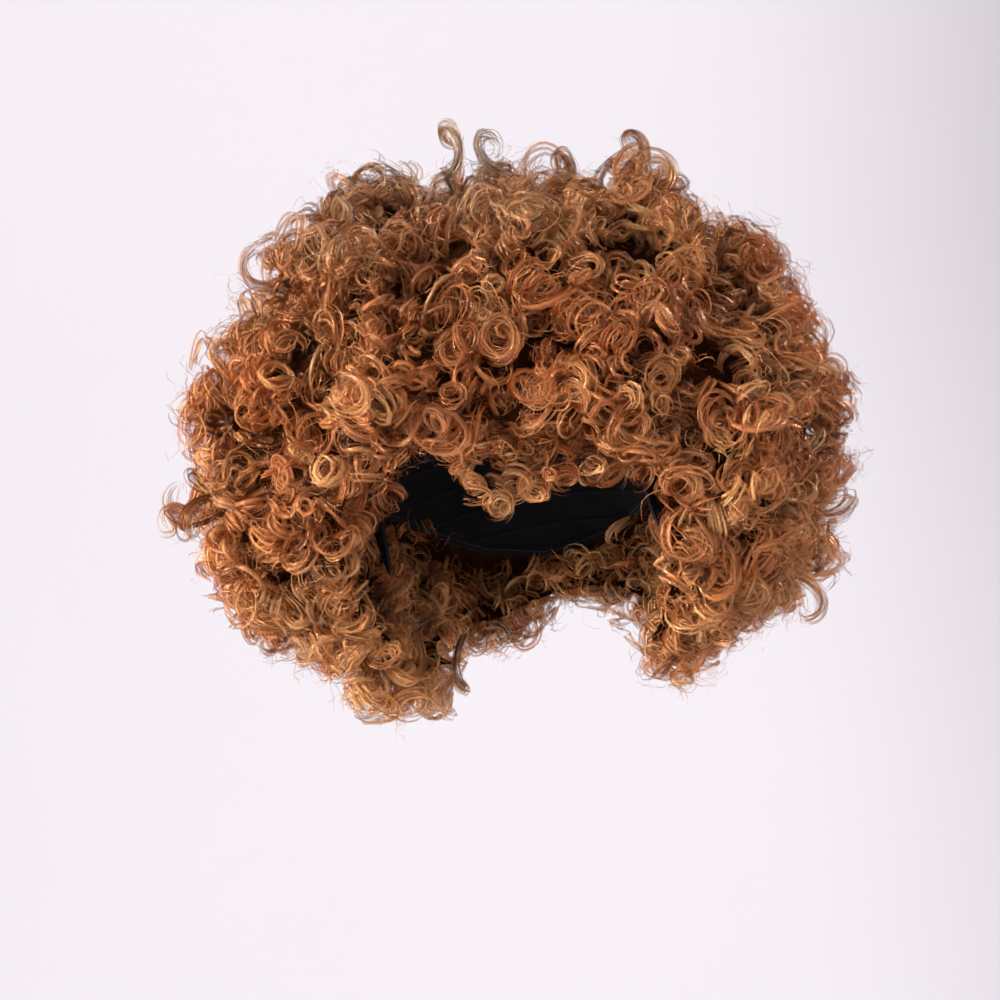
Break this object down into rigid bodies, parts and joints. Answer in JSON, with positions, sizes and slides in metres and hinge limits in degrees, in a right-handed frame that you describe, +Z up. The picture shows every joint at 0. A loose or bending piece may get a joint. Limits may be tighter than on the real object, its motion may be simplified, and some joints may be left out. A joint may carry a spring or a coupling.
{
  "type": "afro wig",
  "caption": "Full afro wig: a mass of copper and golden brown curls with a short fringe, on a black cloth cap with a bound edge and ear tabs.",
  "frame": {"origin": "top of the wearer's head, on the inside of the cap, where the wig sits", "axes": "+Z up, the face looks along -Y, +X is the wearer's left"},
  "size_m": [0.3553, 0.3265, 0.2835],
  "materials": {
    "cap_cloth": "matte black net cloth",
    "curled_hair": "glossy crimped synthetic fibre, copper to golden brown"
  },
  "bodies": {
    "root": {"cap": "cap_cloth", "edge_binding": "cap_cloth", "ear_tab_left": "cap_cloth", "ear_tab_right": "cap_cloth", "hair_mass": "curled_hair", "fringe": "curled_hair"}
  },
  "joints": []
}
